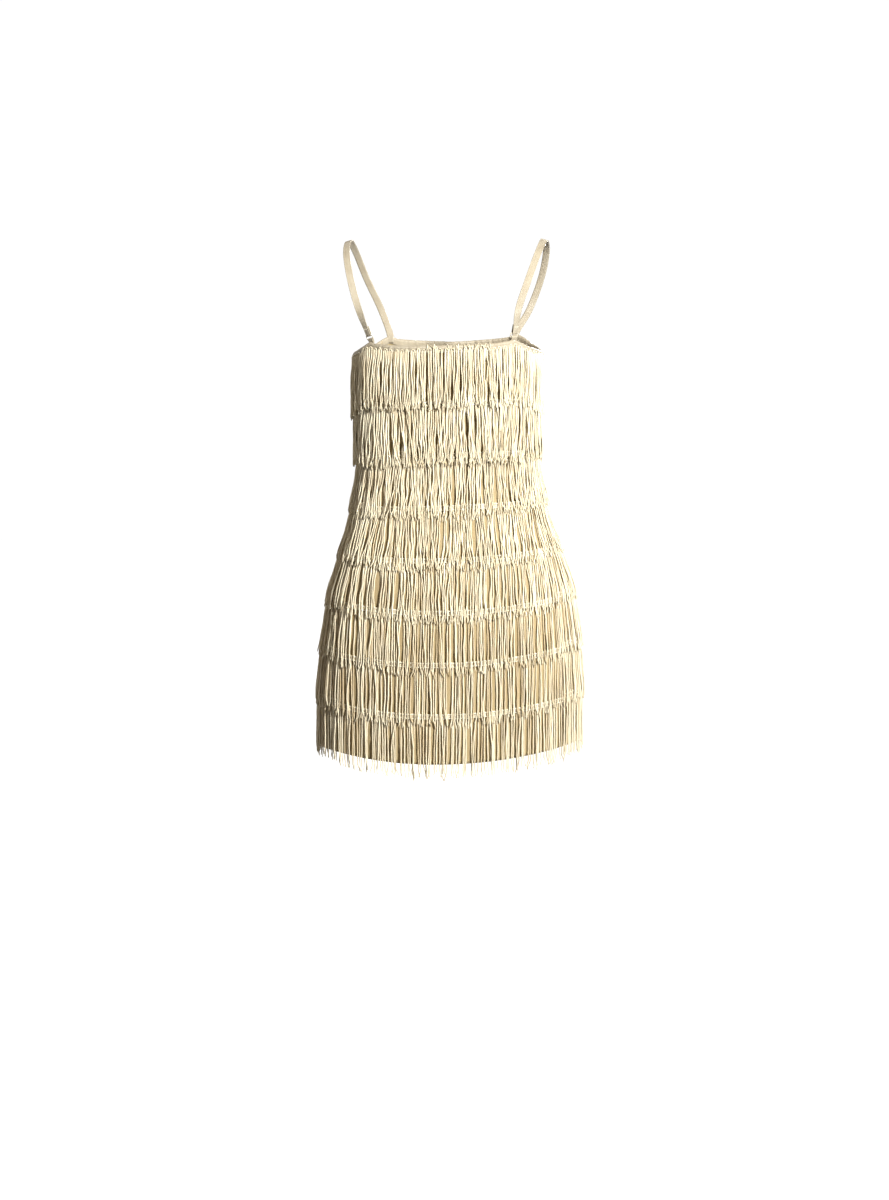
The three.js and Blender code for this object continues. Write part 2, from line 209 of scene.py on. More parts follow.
def makePiece(name, batch, finishes, replaced=()):
    points = np.concatenate(batch["points"]) * mm
    quads = np.concatenate(batch["quads"])
    mesh = bpy.data.meshes.new(name)
    mesh.vertices.add(len(points))
    mesh.vertices.foreach_set("co", points.ravel())
    mesh.loops.add(quads.size)
    mesh.loops.foreach_set("vertex_index", quads.ravel())
    mesh.polygons.add(len(quads))
    mesh.polygons.foreach_set("loop_start", np.arange(0, quads.size, 4))
    mesh.polygons.foreach_set("material_index", np.concatenate(batch["finish"]))
    mesh.polygons.foreach_set("use_smooth", np.ones(len(quads), bool))
    mesh.uv_layers.new(name="thread").uv.foreach_set("vector", np.concatenate(batch["thread"]).ravel())
    tone = mesh.attributes.new("tone", "FLOAT", "POINT")
    tone.data.foreach_set("value", np.concatenate(batch["tone"]))
    mesh.update(calc_edges=True)
    mesh.validate()
    for finish in finishes:
        mesh.materials.append(finish)
    piece = bpy.data.objects.new(name, mesh)
    bpy.context.scene.collection.objects.link(piece)
    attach(piece, "root")
    if replaced:
        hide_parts(*replaced)
    return piece


def roundSection(points, first, second, wide, deep, sides, start=0.0):
    # ellipses round points, in the plane of two directions
    turn = np.arange(sides) * 2 * math.pi / sides + start
    wide, deep = (np.asarray(v, float)[..., None, None] for v in (wide, deep))
    first, second = first[..., None, :], second[..., None, :]
    return points[..., None, :] + wide * np.cos(turn)[:, None] * first + deep * np.sin(turn)[:, None] * second


def cordAxes(path, sideways):
    # two directions across each cord of path[cord, section]
    travel = unit(np.gradient(path, axis=1))
    across = unit(sideways - travel * (sideways * travel).sum(-1, keepdims=True))
    return across, np.cross(travel, across)


# Finishes
def newFinish(name, look):
    finish = bpy.data.materials.new(name)
    finish.use_nodes = True
    shader = finish.node_tree.nodes["Principled BSDF"]
    shader.inputs["Roughness"].default_value = look["roughness"]
    shader.inputs["Sheen Weight"].default_value = look["sheen"]
    shader.inputs["Sheen Roughness"].default_value = look["sheenRoughness"]
    shader.inputs["Specular IOR Level"].default_value = look["specular"]
    return finish, finish.node_tree, shader


def addNode(tree, kind, links=None, **settings):
    node = tree.nodes.new(kind)
    for key, value in settings.items():
        setattr(node, key, value)
    for socket, value in (links or {}).items():
        target = node.inputs[socket]
        if isinstance(value, bpy.types.NodeSocket):
            tree.links.new(value, target)
        else:
            target.default_value = value
    return node


def math2(tree, operation, a, b=0.0):
    return addNode(tree, "ShaderNodeMath", {0: a, 1: b}, operation=operation).outputs[0]


def mixColour(tree, share, a, b, blend="MIX"):
    links = {0: share, 6: a, 7: b}  # factor and the two colour sockets
    node = tree.nodes.new("ShaderNodeMix")
    node.data_type, node.blend_type = "RGBA", blend
    for socket, value in links.items():
        if isinstance(value, bpy.types.NodeSocket):
            tree.links.new(value, node.inputs[socket])
        else:
            node.inputs[socket].default_value = value
    return node.outputs[2]


def noiseOn(tree, scale, detail=3.0):
    # noise fixed to the piece
    place = addNode(tree, "ShaderNodeTexCoord").outputs["Object"]
    return addNode(tree, "ShaderNodeTexNoise", {"Vector": place, "Scale": scale, "Detail": detail}).outputs[0]


def spread(tree, value, low, high, start=0.0, end=1.0):
    links = {"Value": value, "From Min": low, "From Max": high, "To Min": start, "To Max": end}
    return addNode(tree, "ShaderNodeMapRange", links).outputs[0]


def sineWave(tree, turns):
    return math2(tree, "SINE", math2(tree, "MULTIPLY", turns, 2 * math.pi))


def halfWave(tree, turns):
    # a sine between nought and one
    return math2(tree, "ADD", math2(tree, "MULTIPLY", sineWave(tree, turns), 0.5), 0.5)


def threadMap(tree):
    # turns round a thread, and millimetres down it
    uv = addNode(tree, "ShaderNodeUVMap", uv_map="thread").outputs[0]
    split = addNode(tree, "ShaderNodeSeparateXYZ", {0: uv})
    return split.outputs[0], math2(tree, "MULTIPLY", split.outputs[1], threadUnit)


def setColour(tree, shader, share, look):
    tree.links.new(mixColour(tree, share, look["pale"], look["deep"]), shader.inputs["Base Color"])


def setRoughness(tree, shader, noise, look, high=0.7):
    level = spread(tree, noise, 0.3, high, *look["roughRange"])
    tree.links.new(level, shader.inputs["Roughness"])


def setBump(tree, shader, height, depth):
    links = {"Height": height, "Distance": depth * mm, "Strength": 1.0}
    tree.links.new(addNode(tree, "ShaderNodeBump", links).outputs[0], shader.inputs["Normal"])


strandLook = {
    "pale": (0.82, 0.76, 0.59, 1), "deep": (0.36, 0.24, 0.08, 1), "grooveShadeTint": (0.80, 0.76, 0.68, 1),
    "roughness": 0.4, "roughRange": (0.32, 0.5), "sheen": 0.25, "sheenRoughness": 0.35, "specular": 0.5,
    "stitch": 1.7, "stitchRows": 2.0, "stitchSlant": 0.8, "grooveShade": 0.45, "relief": 0.22,
    "toneShare": 0.8, "cloudShare": 0.25, "cloudScale": 26.0, "fleckScale": 900.0, "fleckRelief": 0.5,
}


def chainHeight(tree, look):
    # rows of little V stitches down a knitted cord
    around, down = threadMap(tree)
    fold = math2(tree, "PINGPONG", math2(tree, "MULTIPLY", around, look["stitchRows"]), 1.0)
    slant = math2(tree, "MULTIPLY", fold, look["stitchSlant"])
    return halfWave(tree, math2(tree, "ADD", math2(tree, "DIVIDE", down, look["stitch"]), slant))


def strandFinish():
    look = strandLook
    finish, tree, shader = newFinish("silkyChainette", look)
    tone = addNode(tree, "ShaderNodeAttribute", attribute_name="tone").outputs["Fac"]
    cloud = noiseOn(tree, look["cloudScale"])
    fleck = noiseOn(tree, look["fleckScale"], 2.0)
    # the tone attribute holds each strand's random tone together with the painted shade given to under
    # strands and the lowest rows
    deepen = math2(tree, "MULTIPLY", math2(tree, "POWER", tone, 2.0), look["toneShare"])
    share = math2(tree, "ADD", deepen, spread(tree, cloud, 0.35, 0.7, 0.0, look["cloudShare"]))
    colour = mixColour(tree, share, look["pale"], look["deep"])
    chain = chainHeight(tree, look)
    # painted shade: the hollows between the chain stitches are darkened towards a deeper, warmer colour
    dark = mixColour(tree, 1.0, colour, look["grooveShadeTint"], "MULTIPLY")
    grooveShade = math2(tree, "MULTIPLY", math2(tree, "SUBTRACT", 1.0, chain), look["grooveShade"])
    tree.links.new(mixColour(tree, grooveShade, colour, dark), shader.inputs["Base Color"])
    fuzz = math2(tree, "MULTIPLY", fleck, look["fleckRelief"])
    setBump(tree, shader, math2(tree, "ADD", chain, fuzz), look["relief"])
    setRoughness(tree, shader, fleck, look)
    return finish


headerLook = {
    "pale": (0.76, 0.70, 0.56, 1), "deep": (0.62, 0.53, 0.37, 1),
    "roughness": 0.55, "sheen": 0.25, "sheenRoughness": 0.4, "specular": 0.35,
    "rib": 1.3, "ribShadeShare": 0.3, "fleckScale": 700.0, "relief": 0.3,
}


def headerFinish():
    look = headerLook
    finish, tree, shader = newFinish("wovenHeader", look)
    _, along = threadMap(tree)
    rib = halfWave(tree, math2(tree, "DIVIDE", along, look["rib"]))
    fleck = noiseOn(tree, look["fleckScale"])
    # painted shade: the hollows between the ribs are darker in the colour, beside random flecks
    share = math2(tree, "SUBTRACT", fleck, math2(tree, "MULTIPLY", rib, look["ribShadeShare"]))
    setColour(tree, shader, share, look)
    setBump(tree, shader, math2(tree, "ADD", rib, fleck), look["relief"])
    return finish


stitchLook = {
    "pale": (0.90, 0.85, 0.72, 1), "deep": (0.80, 0.73, 0.57, 1),
    "roughness": 0.42, "sheen": 0.2, "sheenRoughness": 0.35, "specular": 0.5,
    "plies": 2, "twist": 9.0, "fleckScale": 500.0, "relief": 0.1,
}


def stitchFinish():
    look = stitchLook
    finish, tree, shader = newFinish("sewingThread", look)
    around, down = threadMap(tree)
    turn = math2(tree, "MULTIPLY", around, look["plies"] * 2 * math.pi)
    ply = math2(tree, "SINE", math2(tree, "ADD", turn, math2(tree, "MULTIPLY", down, look["twist"])))
    setColour(tree, shader, noiseOn(tree, look["fleckScale"]), look)
    setBump(tree, shader, ply, look["relief"])
    return finish


knitLook = {
    "pale": (0.386, 0.302, 0.164, 1), "deep": (0.302, 0.218, 0.101, 1),
    "roughness": 0.72, "roughRange": (0.66, 0.8), "sheen": 0.25, "sheenRoughness": 0.5, "specular": 0.3,
    "wale": 1.1, "course": 0.9, "slant": 1.4, "courseShare": 0.35, "waleShare": 0.5, "stitchShadeShare": 0.25,
    "cloudScale": 14.0, "fuzzScale": 1200.0, "relief": 0.16,
}


def knitFinish():
    # fine jersey: columns of V stitches, with painted shade darkening the hollows between them
    look = knitLook
    finish, tree, shader = newFinish("beigeJersey", look)
    uv = addNode(tree, "ShaderNodeUVMap", uv_map="cloth").outputs[0]
    split = addNode(tree, "ShaderNodeSeparateXYZ", {0: uv})
    across = math2(tree, "MULTIPLY", split.outputs[0], 1 / (look["wale"] * mm))
    down = math2(tree, "MULTIPLY", split.outputs[1], 1 / (look["course"] * mm))
    fold = math2(tree, "PINGPONG", across, 0.5)
    lean = math2(tree, "ADD", down, math2(tree, "MULTIPLY", fold, look["slant"]))
    course = math2(tree, "MULTIPLY", sineWave(tree, lean), look["courseShare"])
    wale = math2(tree, "MULTIPLY", sineWave(tree, fold), look["waleShare"])
    knit = math2(tree, "ADD", course, wale)
    cloud = spread(tree, noiseOn(tree, look["cloudScale"], 4.0), 0.3, 0.7, 0.1, 0.7)
    fuzz = noiseOn(tree, look["fuzzScale"], 2.0)
    # painted shade: the colour deepens where the stitch relief is low
    stitches = math2(tree, "MULTIPLY", knit, look["stitchShadeShare"])
    setColour(tree, shader, math2(tree, "SUBTRACT", cloud, stitches), look)
    setBump(tree, shader, math2(tree, "ADD", knit, fuzz), look["relief"])
    setRoughness(tree, shader, fuzz, look)
    return finish


satinLook = {
    "pale": (0.418, 0.374, 0.285, 1), "deep": (0.329, 0.276, 0.196, 1),
    "roughness": 0.38, "roughRange": (0.32, 0.48), "sheen": 0.1, "sheenRoughness": 0.3, "specular": 0.4,
    "anisotropy": 0.5, "float": 0.5, "cloudScale": 60.0, "slubScale": 420.0, "slubShare": 0.3,
    "slubRelief": 1.5, "relief": 0.05,
}


def satinFinish():
    look = satinLook
    finish, tree, shader = newFinish("creamSatin", look)
    shader.inputs["Anisotropic"].default_value = look["anisotropy"]
    _, down = threadMap(tree)
    floats = sineWave(tree, math2(tree, "DIVIDE", down, look["float"]))
    cloud = spread(tree, noiseOn(tree, look["cloudScale"], 4.0), 0.3, 0.7, 0.0, 0.6)
    slub = noiseOn(tree, look["slubScale"], 2.0)
    setColour(tree, shader, math2(tree, "ADD", cloud, math2(tree, "MULTIPLY", slub, look["slubShare"])), look)
    setRoughness(tree, shader, slub, look)
    height = math2(tree, "ADD", floats, math2(tree, "MULTIPLY", slub, look["slubRelief"]))
    setBump(tree, shader, height, look["relief"])
    return finish


enamelLook = {
    "pale": (0.56, 0.52, 0.43, 1), "deep": (0.42, 0.36, 0.26, 1),
    "roughness": 0.25, "roughRange": (0.25, 0.5), "sheen": 0.0, "sheenRoughness": 0.5, "specular": 0.5,
    "wear": 0.7, "wearScale": 220.0, "relief": 0.03,
}


def enamelFinish():
    look = enamelLook
    finish, tree, shader = newFinish("ivoryCoating", look)
    cloud = noiseOn(tree, look["wearScale"], 4.0)
    setColour(tree, shader, spread(tree, cloud, 0.52, 0.75, 0.0, look["wear"]), look)
    setRoughness(tree, shader, cloud, look, 0.8)
    setBump(tree, shader, cloud, look["relief"])
    return finish


finishes = {
    "strand": strandFinish(), "header": headerFinish(), "stitch": stitchFinish(),
    "knit": knitFinish(), "satin": satinFinish(), "enamel": enamelFinish(),
}
print("finishes made:", ", ".join(finishes))


# Body panels
bodyCloth = {
    "wall": 1.1, "columnStep": 2.5, "rows": 120, "degree": 2.6, "seamGap": 0.02, "seamRoll": 1.3,
    "seamWidth": 3.0, "topGap": 0.2, "hemTurn": 13, "hemLift": 0.35, "hemRise": 2,
}
# panels from seam to seam; raise lifts the fringe rows of the front and sides a little
bodyPanels = {
    "Back": {"from": -55, "to": 55, "raise": 0, "node": "back"},
    "SideRight": {"from": 55, "to": 132, "raise": 5, "node": "side_right"},
    "Front": {"from": 132, "to": 228, "raise": 5, "node": "front"},
    "SideLeft": {"from": 228, "to": 305, "raise": 5, "node": "side_left"},
}


def makePanel(label, panel):
    columns = int((panel["to"] - panel["from"]) / bodyCloth["columnStep"]) + 1
    angle = np.linspace(panel["from"] + bodyCloth["seamGap"], panel["to"] - bodyCloth["seamGap"], columns)
    top = edgeDrop(angle) + bodyCloth["topGap"]
    share = np.linspace(0, 1, bodyCloth["rows"])[:, None]
    drop = top + (dressForm["hemDrop"] - top) * share
    fromSeam = np.minimum(angle - panel["from"], panel["to"] - angle) * bodyCloth["degree"]
    out = -bodyCloth["seamRoll"] * np.clip(1 - fromSeam / bodyCloth["seamWidth"], 0, 1) ** 2
    hemStart = dressForm["hemDrop"] - bodyCloth["hemTurn"]
    out = out + bodyCloth["hemLift"] * smoothStep(drop, hemStart, hemStart + bodyCloth["hemRise"])
    points = clothPoint(angle, drop, out)
    batch = newBatch()
    addSweep(batch, points[None], closed=False)
    piece = makePiece("panel" + label, batch, [finishes["knit"]], ["body_" + panel["node"]])
    # a second map in metres of cloth, for the knit
    mesh = piece.data
    width = np.cumsum(np.r_[0, np.linalg.norm(np.diff(points[len(points) // 2], axis=0), axis=1)])
    length = np.cumsum(np.r_[0, np.linalg.norm(np.diff(points[:, columns // 2], axis=0), axis=1)])
    flat = np.stack(np.meshgrid(width, length), -1).reshape(-1, 2) * mm
    if np.linalg.norm(np.array(mesh.vertices[0].co) / mm - points[0, 0]) > 0.1:
        flat = np.stack(np.meshgrid(width[::-1], length), -1).reshape(-1, 2) * mm
    corner = np.zeros(len(mesh.loops), int)
    mesh.loops.foreach_get("vertex_index", corner)
    mesh.uv_layers.new(name="cloth").uv.foreach_set("vector", flat[corner].ravel())
    shell = piece.modifiers.new("wall", "SOLIDIFY")
    shell.thickness = bodyCloth["wall"] * mm
    shell.offset = -1
    return piece


for label, panel in bodyPanels.items():
    makePanel(label, panel)
print("body panels made")


# Fringe: strands fall from a header, row under row
fringeRows = {
    "count": 8, "firstDrop": 7.0, "firstTuck": 9, "secondDrop": 239.5, "pitch": 77.4, "length": 96,
    "headerHeight": 7.5, "sides": 5, "fallSteps": 46, "restTop": 0.9, "restFoot": 2.9, "seed": 41,
    # for each row from the top down: radius of a strand, how much it wanders, and its palest tone, deeper in
    # the lowest rows as painted shade towards the hem
    "radius": (0.9, 0.88, 0.87, 0.86, 0.88, 0.92, 0.94, 0.94),
    "wander": (0.75, 1.0, 1.0, 0.95, 0.75, 0.5, 0.42, 0.42),
    "palestToneAndShade": (0.1, 0.1, 0.1, 0.1, 0.1, 0.25, 0.25, 0.25),
    # where strands part and leave a dark slit: row, angle, push to each side
    "partings": (
        (1, -47, 2.0), (1, -34, 2.2), (1, -10, 1.9), (1, 23, 1.9), (1, 160, 2.0), (1, -110, 2.0),
        (2, -46, 2.7), (2, -29, 2.8), (2, -23, 2.3), (2, 10, 2.7), (2, 15, 2.0), (2, 150, 2.7), (2, 92, 2.5),
        (3, -46, 2.6), (3, -37, 3.0), (3, -20, 2.7), (3, 3, 2.2), (3, 10, 2.5), (3, -160, 2.7), (3, 80, 2.5),
        (3, -96, 2.6), (4, -45, 3.2), (4, -38, 3.8), (4, -31, 3.0), (4, -1, 3.3), (4, 11, 3.6),
        (4, 17, 3.2), (4, 24, 3.0), (4, 172, 3.2), (4, 104, 2.9), (4, -140, 3.0), (5, -47, 3.0),
        (5, -41, 3.2), (5, -34, 3.2), (5, -22, 2.4), (5, 6, 2.5), (5, 15, 3.1), (5, -120, 2.9),
        (5, 140, 2.7), (6, -44, 3.0), (6, -37, 3.0), (6, -29, 2.7), (6, -18, 2.3), (6, 118, 2.7),
        (7, -43, 2.8), (7, -35, 2.8), (7, -26, 2.5), (7, -150, 2.7), (8, -33, 2.3),
    ),
    "parting": {"degree": 2.5, "reach": 5, "opens": (8, 32), "closes": (60, 92), "closed": 0.7},
}
# each row has two layers: for each row the space between strands and their deepest tone, then how they hang;
# the under layer's deeper tones are painted shade on the strands that lie behind
fringeLayers = {
    "under": {
        "spacing": (2.9, 2.8, 2.8, 2.9, 3.3, 3.9, 4.1, 4.1),
        "deepestToneAndShade": (0.7, 0.76, 0.82, 0.9, 0.88, 0.88, 0.88, 0.88),
        "lift": (0, 0.7), "sway": 0.7, "lean": 0.5,
    },
    "upper": {
        "spacing": (4.2, 4.1, 4.1, 4.4, 6.0, 12.0, 19.0, 22.0),
        "deepestToneAndShade": (0.45,) * fringeRows["count"],
        "lift": (1.5, 2.8), "sway": 1.5, "lean": 1.0,
    },
}
strandHang = {
    "inset": 2.0, "scatter": 0.28, "startScatter": 0.25, "lengthScatter": 1.5, "shorter": 1.0,
    # neighbours that draw together: how many, and the spread of their middle, pull, lean and length
    "clumps": (1, 2, 2, 3, 3, 4), "clumpShift": 0.25, "clumpPull": (0.1, 0.6), "clumpLean": 0.016,
    "clumpLength": 1.9,
    "swings": ((0.05, 19), (0.04, 37)),  # slow leans along a row: size, length
    "freeBy": 60, "wave": (7, 14), "ripple": (2.8, 4.2), "rippleSize": 0.3,
    "liftOver": (3, 30), "tipDrop": 0.5, "bob": 0.4, "bobLength": 11,
    "tip": 15, "tipBend": 2.0, "tipLift": 0.9, "tipTaper": 0.2, "endTaper": 0.35,
    "curl": (1.6, 2.6), "curlSize": 0.8,
    "thickness": (0.85, 1.15), "heldShare": 0.5, "heldFor": 4, "twist": (5, 8), "oval": 0.13,
    # sections stand closer together towards the tip, where a strand curls
    "sections": np.r_[np.linspace(0, 0.84, 14), np.linspace(0.87, 1, 7)],
}
# the first row has uneven tops, pulled up where the binding is gathered and joined two by two in arches
firstRow = {
    "gathers": ((11, 15), (180, 20)), "pull": 2.2, "scatter": 0.8, "gatherScatter": 1.2,  # angle, width
    "rest": 2.2, "gatherRest": 0.8,
    "archSteps": 7, "archFoot": 0.5, "archHeight": 3.4, "archLift": 0.3, "archThickness": 0.9, "archSides": 6,
}


def sewnDrop(tier, angle, panel):
    if tier == 1:  # laid over the lower part of the binding
        return edgeDrop(angle) + fringeRows["firstDrop"]
    return np.zeros_like(angle) + fringeRows["secondDrop"] + (tier - 2) * fringeRows["pitch"] - panel["raise"]


def spacedAngles(panel, tier, spacing, inset):
    # angles that are evenly spaced along a row's sewn line
    fine = np.linspace(panel["from"], panel["to"], 1500)
    line = clothPoint(fine, sewnDrop(tier, fine, panel), 0)
    run = np.r_[0, np.cumsum(np.linalg.norm(np.diff(line, axis=0), axis=1))]
    count = max(int(round((run[-1] - 2 * inset) / spacing)), 2)
    return np.interp(np.linspace(inset, run[-1] - inset, count), run, fine), run[-1]


def fallStrands(angle, start, length, restTop):
    # straight down from the header, pushed out where the cloth or the row below is in the way
    steps = fringeRows["fallSteps"]
    nearby = 0.2  # degrees
    path, outward, sideways = [], [], []
    at = clothPoint(angle, start, restTop)[:, :2]
    for k in range(steps + 1):
        drop = start + length * k / steps
        rest = restTop + (fringeRows["restFoot"] - restTop) * smoothStep(k / steps, 0.4, 0.85)
        for _ in range(2):  # finds the cloth behind the strand
            base = clothPoint(angle, drop, 0)
            side = clothPoint(angle + nearby, drop, 0) - base
            angle = angle + nearby * ((at - base[:, :2]) * side[:, :2]).sum(1) / (side[:, :2] ** 2).sum(1)
        base = clothPoint(angle, drop, 0)
        out = clothPoint(angle, drop, 1) - base
        reach = ((at - base[:, :2]) * out[:, :2]).sum(1)
        at = at + out[:, :2] * np.maximum(rest - reach, 0)[:, None]
        path.append(np.column_stack([at, base[:, 2]]))
        outward.append(out)
        sideways.append(unit(side))
    return (np.stack(a, 1) for a in (path, outward, sideways))


def readSteps(steps, share):
    # values at other shares of the way down than the even steps
    at = share * (steps.shape[1] - 1)
    low = np.minimum(at.astype(int), steps.shape[1] - 2)
    part = (at - low)[:, None]
    return steps[:, low] * (1 - part) + steps[:, low + 1] * part


def clumpStrands(rng, count, spacing):
    pull, lean, extra = np.zeros(count), np.zeros(count), np.zeros(count)
    at = 0
    while at < count:
        size = min(int(rng.choice(strandHang["clumps"])), count - at)
        group = np.arange(at, at + size)
        centre = group.mean() + rng.normal(0, strandHang["clumpShift"])
        pull[group] = (centre - group) * spacing * rng.uniform(*strandHang["clumpPull"])
        lean[group] = rng.normal(0, strandHang["clumpLean"])
        extra[group] = rng.normal(0, strandHang["clumpLength"])
        at += size
    return pull, lean, extra


def layStrands(panel, tier, layer, rng):
    # one layer of a row: where each strand starts and how it hangs
    look = fringeLayers[layer]
    spacing = look["spacing"][tier - 1]
    angle, run = spacedAngles(panel, tier, spacing, strandHang["inset"])
    count = len(angle)
    pull, lean, extra = clumpStrands(rng, count, spacing)
    place = np.linspace(0, run, count)
    swing = sum(size * np.sin(place / wave + rng.uniform(0, 6)) for size, wave in strandHang["swings"])
    lift = rng.uniform(*look["lift"], count)
    # random tone within the row's range, which also holds painted shade: deeper for the under layer and for
    # the lowest rows
    tone = rng.uniform(fringeRows["palestToneAndShade"][tier - 1], look["deepestToneAndShade"][tier - 1], count)
    return {
        "angle": angle + rng.normal(0, strandHang["scatter"], count), "pull": pull,
        "lean": lean + swing * look["lean"], "extra": extra, "lift": lift, "tone": tone,
        "sway": np.full(count, look["sway"]),
    }


def layRow(panel, tier, rng):
    # both layers together, with the start and length of each strand and its rest on the cloth
    layers = [layStrands(panel, tier, layer, rng) for layer in fringeLayers]
    row = {key: np.concatenate([layer[key] for layer in layers]) for key in layers[0]}
    count = len(row["angle"])
    length = fringeRows["length"] - (fringeRows["firstTuck"] if tier == 1 else 0)
    row["length"] = length + row["extra"] + rng.normal(0, strandHang["lengthScatter"], count)
    row["length"] = row["length"] - rng.exponential(strandHang["shorter"], count)
    row["start"] = sewnDrop(tier, row["angle"], panel) + rng.normal(0, strandHang["startScatter"], count)
    row["rest"] = np.full(count, fringeRows["restTop"])
    if tier == 1:
        gathered = np.zeros(count)
        for at, wide in firstRow["gathers"]:
            gathered = gathered + np.exp(-((angleFrom(row["angle"], at) / wide) ** 2))
        scatter = rng.normal(0, firstRow["scatter"], count) * (1 + firstRow["gatherScatter"] * gathered)
        row["start"] = row["start"] - firstRow["pull"] * gathered + scatter
        row["rest"] = firstRow["rest"] + firstRow["gatherRest"] * gathered
    return row, slice(len(layers[0]["angle"]), count)


def partStrands(tier, angle, down):
    # how far strands are pushed to either side of the row's partings
    parting = fringeRows["parting"]
    closing = parting["closed"] * smoothStep(down, *parting["closes"])
    apart = smoothStep(down, *parting["opens"]) * (1 - closing)
    side = np.zeros_like(down)
    for row, at, push in fringeRows["partings"]:
        if row == tier:
            away = angleFrom(angle, at)[:, None] * parting["degree"]
            side = side + push * np.sign(away) * np.exp(-np.abs(away) / parting["reach"]) * apart
    return side


def makeStrands(tier, row, rng):
    # soft oval cords: the plain fall, then clumps, lean, waves, partings and a curl at the end
    hang = strandHang
    share = hang["sections"]
    wander = fringeRows["wander"][tier - 1]
    each = (len(row["angle"]), 1)
    length = row["length"][:, None]
    fall = fallStrands(row["angle"], row["start"], row["length"], row["rest"])
    path, outward, sideways = (readSteps(steps, share) for steps in fall)
    down = share * length
    free = smoothStep(down, fringeRows["headerHeight"], hang["freeBy"])
    tip = smoothStep(down, length - hang["tip"], length)
    phase = rng.uniform(0, 2 * math.pi, (5, *each))
    wave = row["sway"][:, None] * np.sin(down / rng.uniform(*hang["wave"], each) + phase[0])
    ripple = hang["rippleSize"] * np.sin(down / rng.uniform(*hang["ripple"], each) + phase[1])
    bend = rng.normal(0, hang["tipBend"], each)
    curl = hang["curlSize"] * np.sin((length - down) / rng.uniform(*hang["curl"], each) + phase[4])
    side = row["pull"][:, None] * free + row["lean"][:, None] * down + (wave + ripple) * free
    side = side * wander + tip * (bend + curl) + partStrands(tier, row["angle"], down)
    lift = row["lift"][:, None] * smoothStep(down, *hang["liftOver"]) * (1 - hang["tipDrop"] * tip)
    lift = lift + hang["bob"] * np.sin(down / hang["bobLength"] + phase[2]) * free * wander
    lift = lift + np.abs(rng.normal(0, hang["tipLift"], each)) * tip
    path = path + sideways * side[..., None] + outward * lift[..., None]
    radius = fringeRows["radius"][tier - 1] * rng.uniform(*hang["thickness"], each) * np.ones_like(down)
    radius = radius * (1 - hang["tipTaper"] * tip) * (1 - hang["endTaper"] * (share == 1))
    if tier > 1:  # thinner where the header holds them
        held = hang["heldShare"]
        radius = radius * (held + (1 - held) * smoothStep(down, 0, hang["heldFor"]))
    around = np.arange(fringeRows["sides"]) * 2 * math.pi / fringeRows["sides"]
    twist = down / rng.uniform(*hang["twist"], each) + phase[3]
    swell = 1 + hang["oval"] * np.cos(2 * (around - twist[..., None]))
    across, outer = cordAxes(path, sideways)
    ring = np.cos(around)[:, None] * across[:, :, None] + np.sin(around)[:, None] * outer[:, :, None]
    return path[:, :, None] + ring * (radius[..., None] * swell)[..., None], down, radius


def addArches(batch, angle, start, out, radius, tone):
    order = np.argsort(angle)
    first, second = order[:-1:2], order[1::2]
    swing = np.linspace(0, math.pi, firstRow["archSteps"])
    share = (1 - np.cos(swing)) / 2

    def between(values):
        return values[first][:, None] * (1 - share) + values[second][:, None] * share

    turn = between(angle)
    drop = between(start) + firstRow["archFoot"] - firstRow["archHeight"] * np.sin(swing)
    rest = between(out) + firstRow["archLift"] * np.sin(swing)
    path = clothPoint(turn, drop, rest)
    across, outer = cordAxes(path, unit(clothPoint(turn, drop, rest + 1) - path))
    thick = between(radius) * firstRow["archThickness"]
    cords = roundSection(path, across, outer, thick, thick, firstRow["archSides"])
    addSweep(batch, cords, tone=tone[first], finish=0)


headerBand = {
    "edge": 0.4, "step": 3.0, "inset": 0.4, "chainDrops": (1.0, 6.6), "chainOut": 2.3, "chainInset": 1.5,
    "chainScatter": 0.12, "link": 3.0, "linkWidth": 1.5, "linkOval": 1.25, "linkLean": 0.22,
    "linkReach": 0.62, "facingDrop": 400,
}


def addHeader(batch, panel, tier, rng):
    # a narrow woven band, with two rows of chain stitch across the tops of the strands
    look = headerBand
    angle, _ = spacedAngles(panel, tier, look["step"], look["inset"])
    top = sewnDrop(tier, angle, panel)
    middle = fringeRows["headerHeight"] / 2
    high, low = -look["edge"], fringeRows["headerHeight"] + look["edge"]
    # round the band: down, out
    corners = ((high, 0.15), (high, 0.65), (middle, 0.85), (low, 0.65), (low, 0.15), (middle, 0.1))
    loop = np.stack([clothPoint(angle, top + down, out) for down, out in corners], 1)
    addSweep(batch, loop[None], finish=1)
    for chainDrop in look["chainDrops"]:
        angle, _ = spacedAngles(panel, tier, look["link"], look["chainInset"])
        drop = sewnDrop(tier, angle, panel) + chainDrop + rng.normal(0, look["chainScatter"], len(angle))
        at = clothPoint(angle, drop, look["chainOut"])
        side = unit(np.gradient(at, axis=0))
        out = unit(clothPoint(angle, look["facingDrop"], 1) - clothPoint(angle, look["facingDrop"], 0))
        lean = np.where(np.arange(len(angle)) % 2, look["linkLean"], -look["linkLean"])[:, None]
        side = unit(side + np.cross(side, out) * lean)
        up = np.cross(side, out)
        reach = np.array([-1, 0, 1]) * look["linkReach"] * look["link"]
        size = np.array([0.5, 1, 0.5]) * look["linkWidth"] / 2
        links = at[:, None] + side[:, None] * reach[:, None]
        up, out = (np.broadcast_to(way[:, None], links.shape) for way in (up, out))
        rings = roundSection(links, up, out, size * look["linkOval"], size, 4, math.pi / 4)
        addSweep(batch, rings, finish=2, tone=rng.random(len(angle)))


